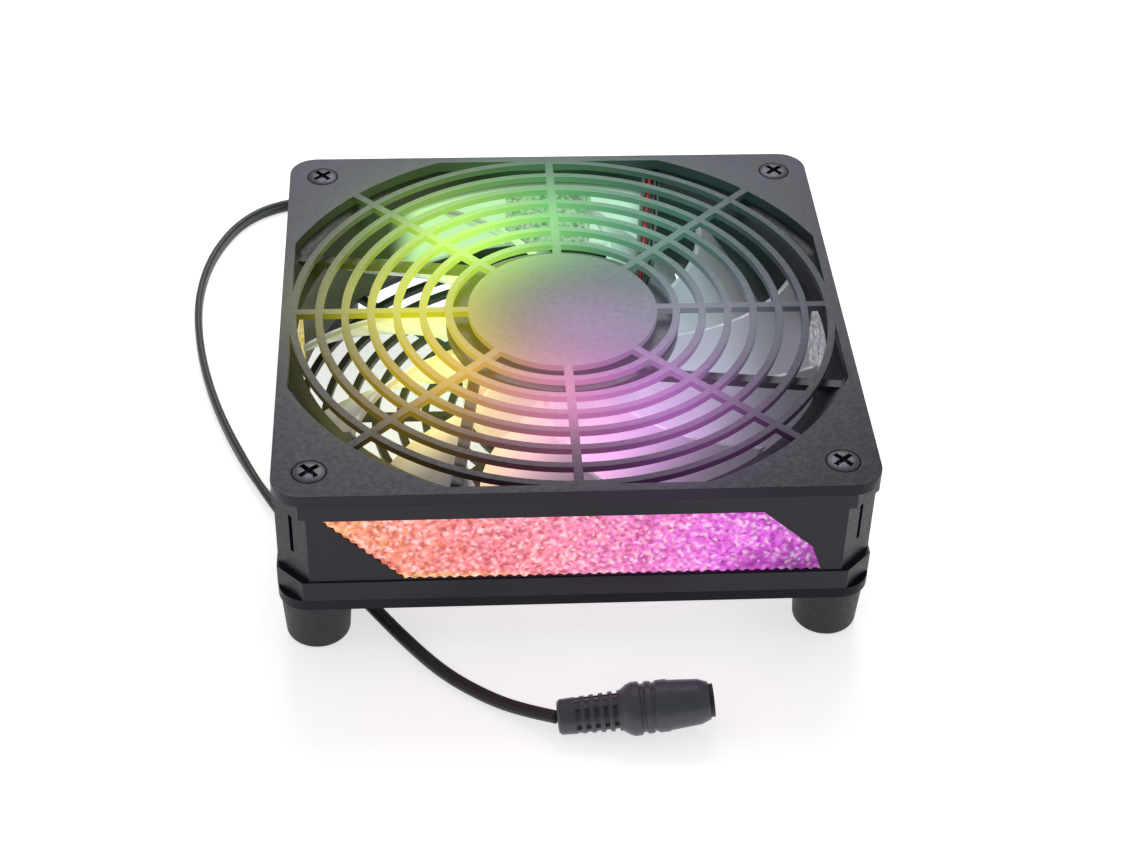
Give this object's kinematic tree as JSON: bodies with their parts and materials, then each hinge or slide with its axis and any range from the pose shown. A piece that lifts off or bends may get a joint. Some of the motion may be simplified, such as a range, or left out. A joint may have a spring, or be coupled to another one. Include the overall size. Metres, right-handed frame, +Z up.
{
  "type": "case fan",
  "caption": "Square case fan between ring-grille guards on rubber feet, with slanted light panels, a motor-driven impeller and a short lead ending in a round socket.",
  "frame": {"origin": "middle of the footprint, at the level the feet stand on", "axes": "+Z up along the impeller axis, -Y out of the front face with the main light panel"},
  "size_m": [0.1461, 0.1936, 0.0425],
  "materials": {
    "guard_plastic": "fine-grained satin black ABS",
    "frame_plastic": "moulded satin black",
    "light_panel": "crystal-cut translucent lens, lit from behind",
    "milky_plastic": "milky translucent",
    "circuit_board": "solder-masked laminate",
    "light_chips": "clear potted light chips",
    "motor_steel": "stamped steel",
    "magnet": "bonded ferrite",
    "sleeve_bronze": "sintered bronze",
    "polished_steel": "bright plated steel",
    "pale_plastic": "natural nylon",
    "copper_wire": "enamelled copper",
    "chip_plastic": "moulded epoxy",
    "label_paper": "blank silver label",
    "black_screw": "black zinc plating",
    "foot_rubber": "moulded black rubber",
    "cord_sheath": "soft black sheath",
    "red_sheath": "red sheath",
    "socket_plastic": "moulded black sheath"
  },
  "bodies": {
    "housing": {"top_guard": "guard_plastic", "bottom_guard": "guard_plastic", "fan_frame": "frame_plastic", "light_panel_front": "light_panel", "light_panel_right": "light_panel", "light_panel_back": "light_panel", "light_panel_left": "light_panel", "light_board_front": "circuit_board", "light_board_right": "circuit_board", "light_board_back": "circuit_board", "light_board_left": "circuit_board", "side_light_chips": "light_chips", "hub_light_chips": "light_chips", "hub_light_board": "circuit_board", "bearing_sleeve": "sleeve_bronze", "thrust_pad": "pale_plastic", "stator_core": "motor_steel", "stator_insulator_top": "pale_plastic", "stator_insulator_bottom": "pale_plastic", "coil_windings": "copper_wire", "driver_board": "circuit_board", "driver_chip": "chip_plastic", "hall_sensor": "chip_plastic", "capacitor": "polished_steel", "motor_label": "label_paper", "guard_screws": "black_screw", "foot_washers": "polished_steel", "foot_nuts": "polished_steel", "foot_front_left": "foot_rubber", "foot_front_right": "foot_rubber", "foot_back_right": "foot_rubber", "foot_back_left": "foot_rubber", "power_cord": "cord_sheath", "red_wire": "red_sheath", "black_wire": "cord_sheath", "cable_grommet": "foot_rubber", "socket_body": "socket_plastic", "socket_insulator": "chip_plastic", "socket_contact": "polished_steel", "socket_pin": "polished_steel"},
    "rotor": {"impeller": "milky_plastic", "rotor_yoke": "motor_steel", "ring_magnet": "magnet", "shaft_bush": "sleeve_bronze", "shaft": "polished_steel", "retaining_clip": "pale_plastic"}
  },
  "joints": [
    {"name": "impeller_spin", "type": "hinge", "parent": "housing", "child": "rotor", "pos_m": [0, 0, 0.0265], "axis": [0, 0, 1], "continuous": true}
  ]
}
